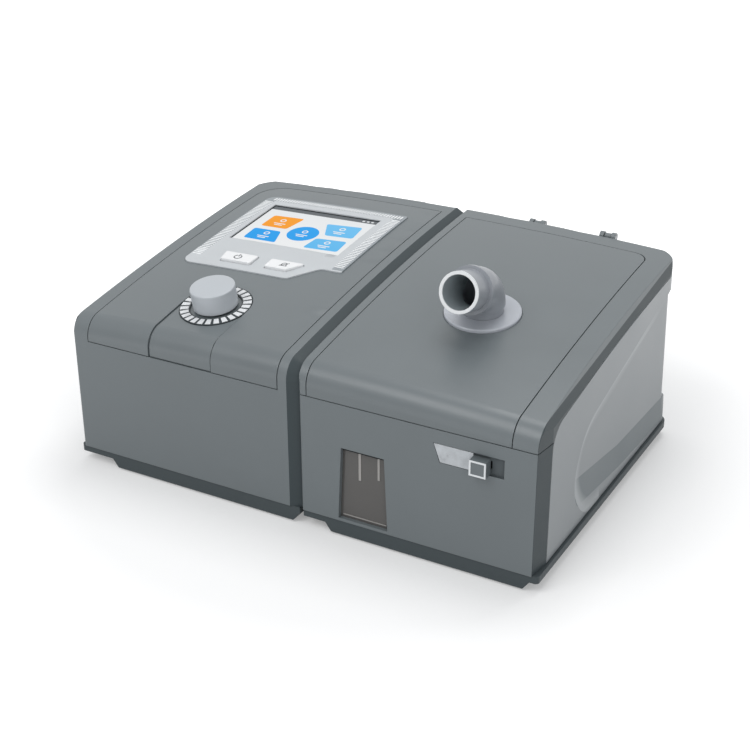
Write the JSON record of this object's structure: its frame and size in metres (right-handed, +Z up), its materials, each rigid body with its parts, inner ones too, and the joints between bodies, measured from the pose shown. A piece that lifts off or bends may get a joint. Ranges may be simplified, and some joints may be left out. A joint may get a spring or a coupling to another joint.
{
  "type": "positive airway pressure machine with humidifier",
  "caption": "Bedside breathing-air machine with a tilted display, press dial, docked heated humidifier, hinged lid and swivel air outlet.",
  "frame": {"origin": "centre of the outline on the table top, under the feet", "axes": "+X towards the humidifier (user right), -Y the front with the latch and window, +Z up"},
  "size_m": [0.285, 0.207, 0.1391],
  "materials": {
    "housing_grey": "fine-textured grey moulding",
    "panel_grey": "fine-textured lighter grey moulding",
    "side_grey": "fine-textured light grey moulding",
    "dark_grey": "fine-textured dark grey moulding",
    "pale_grey": "smooth pale grey moulding",
    "bezel_silver": "satin silver, ribbed border",
    "key_white": "satin white key",
    "display_glass": "clear display cover",
    "display_black": "display module",
    "smoked_clear": "smoked clear window",
    "tank_clear": "clear tank moulding",
    "white_plastic": "natural white internal moulding",
    "black_plastic": "black internal moulding",
    "rubber_black": "soft rubber",
    "silicone": "translucent silicone",
    "foam_grey": "open-cell foam",
    "filter_white": "pleated filter",
    "board_green": "printed circuit board",
    "component_grey": "heat sink and cans",
    "steel": "bright steel",
    "aluminium": "machined aluminium",
    "copper": "wound copper"
  },
  "bodies": {
    "main_unit": {"main_base": "dark_grey", "main_shell": "housing_grey", "control_panel": "panel_grey", "main_side_panel": "side_grey", "display_bezel": "bezel_silver", "display_window": "display_glass", "lcd_module": "display_black", "display_board": "board_green", "tact_switches": "black_plastic", "encoder_body": "black_plastic", "dial_ring": "dark_grey", "main_feet": "rubber_black", "main_screws": "steel", "main_board": "board_green", "board_components": "component_grey", "power_inlet": "black_plastic", "card_socket": "component_grey", "blower_lower_housing": "white_plastic", "blower_upper_housing": "white_plastic", "motor_can": "steel", "motor_stator": "copper", "motor_bearings": "steel", "blower_mounts": "silicone", "outlet_duct": "white_plastic", "intake_duct": "white_plastic", "silencer_box": "white_plastic", "silencer_foam": "foam_grey", "air_filter": "filter_white"},
    "power_key": {"power_button": "key_white"},
    "mute_key": {"mute_button": "key_white"},
    "dial_plunger": {"encoder_plunger": "black_plastic"},
    "dial": {"dial_knob": "pale_grey", "encoder_shaft": "steel"},
    "blower_rotor": {"impeller": "black_plastic", "motor_shaft": "steel", "rotor_magnet": "black_plastic"},
    "card": {"memory_card": "black_plastic"},
    "filter_door": {"filter_cover": "dark_grey"},
    "humidifier": {"humidifier_base": "dark_grey", "humidifier_shell": "housing_grey", "humidifier_side_panel": "side_grey", "window_pane": "smoked_clear", "hinge_pins": "steel", "inlet_seal": "silicone", "tank_tray": "white_plastic", "heater_plate": "aluminium", "heater_carrier": "black_plastic", "humidifier_feet": "rubber_black", "humidifier_screws": "steel", "water_tank": "tank_clear", "tank_plate": "steel", "tank_seal": "silicone", "tank_cover": "tank_clear"},
    "humidifier_lid": {"lid_frame": "housing_grey", "lid_panel": "panel_grey", "lid_seal": "silicone", "outlet_flange": "pale_grey"},
    "outlet": {"outlet_elbow": "pale_grey"},
    "latch": {"latch_slider": "dark_grey", "latch_plate": "pale_grey"}
  },
  "joints": [
    {"name": "power_press", "type": "slide", "parent": "main_unit", "child": "power_key", "axis": [0.0306, 0.0987, -0.9947], "range_m": [0, 0.0008], "stiffness_N_per_m": 3000, "springref_m": -0.0001},
    {"name": "mute_press", "type": "slide", "parent": "main_unit", "child": "mute_key", "axis": [0.0306, 0.0987, -0.9947], "range_m": [0, 0.0008], "stiffness_N_per_m": 3000, "springref_m": -0.0001},
    {"name": "dial_press", "type": "slide", "parent": "main_unit", "child": "dial_plunger", "axis": [0.0296, 0.1658, -0.9857], "range_m": [0, 0.0008], "stiffness_N_per_m": 4000, "springref_m": -0.0002},
    {"name": "dial_turn", "type": "hinge", "parent": "dial_plunger", "child": "dial", "pos_m": [-0.0677, -0.063, 0.09891], "axis": [-0.0296, -0.1658, 0.9857], "continuous": true},
    {"name": "rotor_spin", "type": "hinge", "parent": "main_unit", "child": "blower_rotor", "pos_m": [-0.042, 0.036, 0.044], "axis": [0, 0, 1], "continuous": true},
    {"name": "card_slide", "type": "slide", "parent": "main_unit", "child": "card", "axis": [0, 1, 0], "range_m": [0, 0.02]},
    {"name": "filter_cover_pull", "type": "slide", "parent": "main_unit", "child": "filter_door", "axis": [0, 1, 0], "range_m": [0, 0.02]},
    {"name": "humidifier_undock", "type": "slide", "parent": "main_unit", "child": "humidifier", "axis": [1, 0, 0], "range_m": [0, 0.04]},
    {"name": "lid_hinge", "type": "hinge", "parent": "humidifier", "child": "humidifier_lid", "pos_m": [0.067, 0.1009, 0.1148], "axis": [-1, 0, 0], "range_deg": [0, 80]},
    {"name": "elbow_swivel", "type": "hinge", "parent": "humidifier_lid", "child": "outlet", "pos_m": [0.071, -0.0168, 0.1058], "axis": [0.0311, -0.1337, 0.9905], "continuous": true},
    {"name": "latch_slide", "type": "slide", "parent": "humidifier", "child": "latch", "axis": [1, 0, 0], "range_m": [0, 0.007], "stiffness_N_per_m": 300, "springref_m": -0.001}
  ]
}
